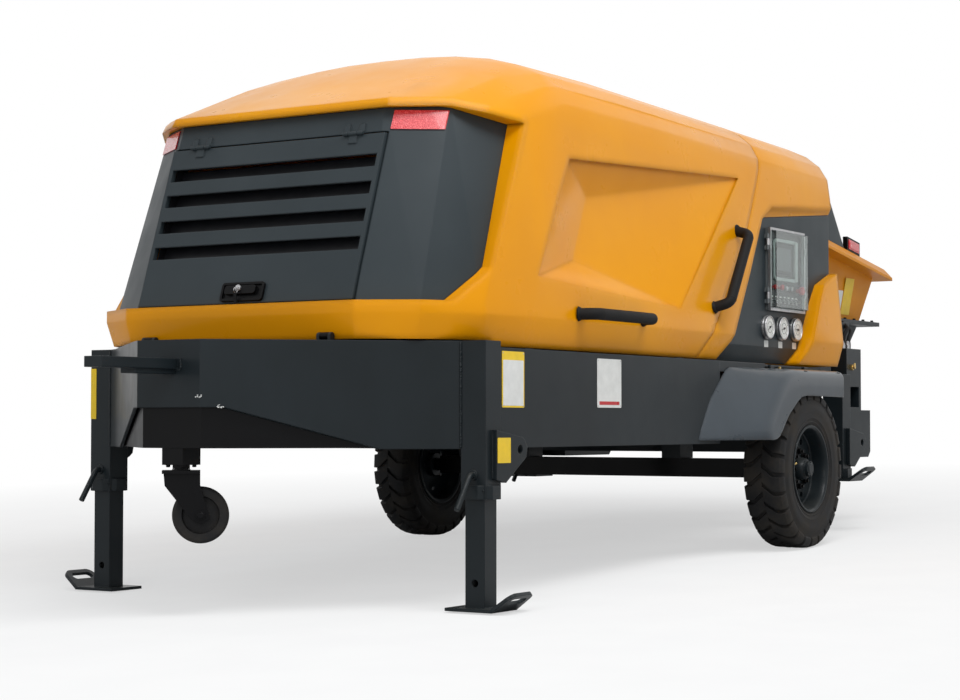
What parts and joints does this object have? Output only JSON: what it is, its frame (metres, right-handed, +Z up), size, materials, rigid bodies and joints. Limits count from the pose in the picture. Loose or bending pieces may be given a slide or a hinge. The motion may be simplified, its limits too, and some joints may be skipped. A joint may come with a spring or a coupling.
{
  "type": "trailer-mounted concrete pump",
  "caption": "Single-axle trailer concrete pump with a faceted yellow hood, rear hopper, support legs and a front tow tongue.",
  "frame": {"origin": "middle of the machine's length and width, on the floor under the tyres", "axes": "+X forward along the floor to the tow tongue, +Y to the side with the controls, +Z up; the parked machine leans nose-up by 2.37 degrees in this frame"},
  "size_m": [5.5958, 2.33, 2.2131],
  "materials": {
    "hood_yellow": "semi-gloss",
    "slate_paint": "satin",
    "black_paint": "satin",
    "bare_steel": "worn",
    "tyre_rubber": "matte",
    "red_lens": "gloss",
    "box_grey": "satin",
    "smoked_pane": "gloss",
    "gauge_face": "gloss",
    "engine_paint": "painted"
  },
  "bodies": {
    "chassis": {"front_beam": "slate_paint", "tow_tongue": "slate_paint", "chassis_frame": "slate_paint", "leg_sleeves": "slate_paint", "leg_pins": "black_paint", "lifting_lugs": "black_paint", "axle": "black_paint", "fenders": "slate_paint", "caster_mount": "black_paint", "hood_rear": "hood_yellow", "control_panels": "slate_paint", "control_box": "box_grey", "gauges": "gauge_face", "rear_guard": "slate_paint", "engine_block": "engine_paint", "radiator": "black_paint", "tanks": "black_paint", "hopper": "hood_yellow", "hopper_trough": "slate_paint", "agitator_drives": "black_paint", "delivery_pipe": "bare_steel", "pump_cylinders": "black_paint", "tail_lamps": "black_paint"},
    "wheel_left": {"rim_left": "slate_paint", "tyre_left": "tyre_rubber"},
    "wheel_right": {"rim_right": "slate_paint", "tyre_right": "tyre_rubber"},
    "caster_swivel": {"caster_fork": "black_paint"},
    "caster_roller": {"caster_wheel": "tyre_rubber"},
    "leg_fl": {"leg_front_left": "slate_paint"},
    "leg_fr": {"leg_front_right": "slate_paint"},
    "leg_rl": {"leg_rear_left": "slate_paint"},
    "leg_rr": {"leg_rear_right": "slate_paint"},
    "hood": {"hood_front": "hood_yellow", "hood_front_panel": "slate_paint", "reflectors": "red_lens", "hood_handles": "black_paint", "hood_knuckles": "black_paint"},
    "door": {"grille_door": "slate_paint", "door_latch": "black_paint"},
    "cover": {"box_cover": "bare_steel", "cover_pane": "smoked_pane"},
    "grate": {"hopper_grate": "slate_paint"},
    "stirrer": {"agitator": "bare_steel"},
    "valve": {"swing_valve": "bare_steel"}
  },
  "joints": [
    {"name": "wheel_left_spin", "type": "hinge", "parent": "chassis", "child": "wheel_left", "pos_m": [-0.87189, 1.0465, 0.375], "axis": [0, 1, 0], "continuous": true},
    {"name": "wheel_right_spin", "type": "hinge", "parent": "chassis", "child": "wheel_right", "pos_m": [-0.87189, -1.0465, 0.375], "axis": [0, 1, 0], "continuous": true},
    {"name": "caster_swivel", "type": "hinge", "parent": "chassis", "child": "caster_swivel", "pos_m": [2.33791, 0, 0.54288], "axis": [-0.0414, 0, 0.9991], "continuous": true},
    {"name": "caster_spin", "type": "hinge", "parent": "caster_swivel", "child": "caster_roller", "pos_m": [2.29825, 0.05516, 0.3821], "axis": [0.7654, 0.6428, 0.0317], "continuous": true},
    {"name": "leg_fl_slide", "type": "slide", "parent": "chassis", "child": "leg_fl", "axis": [-0.0414, 0, 0.9991], "range_m": [0, 0.3997]},
    {"name": "leg_fr_slide", "type": "slide", "parent": "chassis", "child": "leg_fr", "axis": [-0.0414, 0, 0.9991], "range_m": [0, 0.3997]},
    {"name": "leg_rl_slide", "type": "slide", "parent": "chassis", "child": "leg_rl", "axis": [-0.0414, 0, 0.9991], "range_m": [-0.3997, 0]},
    {"name": "leg_rr_slide", "type": "slide", "parent": "chassis", "child": "leg_rr", "axis": [-0.0414, 0, 0.9991], "range_m": [-0.3997, 0]},
    {"name": "hood_tilt", "type": "hinge", "parent": "chassis", "child": "hood", "pos_m": [2.00629, 0, 1.03458], "axis": [0, 1, 0], "range_deg": [0, 50]},
    {"name": "door_hinge", "type": "hinge", "parent": "hood", "child": "door", "pos_m": [1.73042, 0, 1.81485], "axis": [0, -1, 0], "range_deg": [0, 75]},
    {"name": "cover_hinge", "type": "hinge", "parent": "chassis", "child": "cover", "pos_m": [-0.97974, 0.888, 1.33636], "axis": [0.0414, 0, -0.9991], "range_deg": [0, 100]},
    {"name": "grate_hinge", "type": "hinge", "parent": "chassis", "child": "grate", "pos_m": [-1.90578, 0, 1.53594], "axis": [0, 1, 0], "range_deg": [0, 75]},
    {"name": "agitator_spin", "type": "hinge", "parent": "chassis", "child": "stirrer", "pos_m": [-2.237, 0, 0.95404], "axis": [0, 1, 0], "continuous": true},
    {"name": "valve_swing", "type": "hinge", "parent": "chassis", "child": "valve", "pos_m": [-2.34044, 0, 0.55142], "axis": [0.9991, 0, 0.0414], "range_deg": [0, 90]}
  ]
}
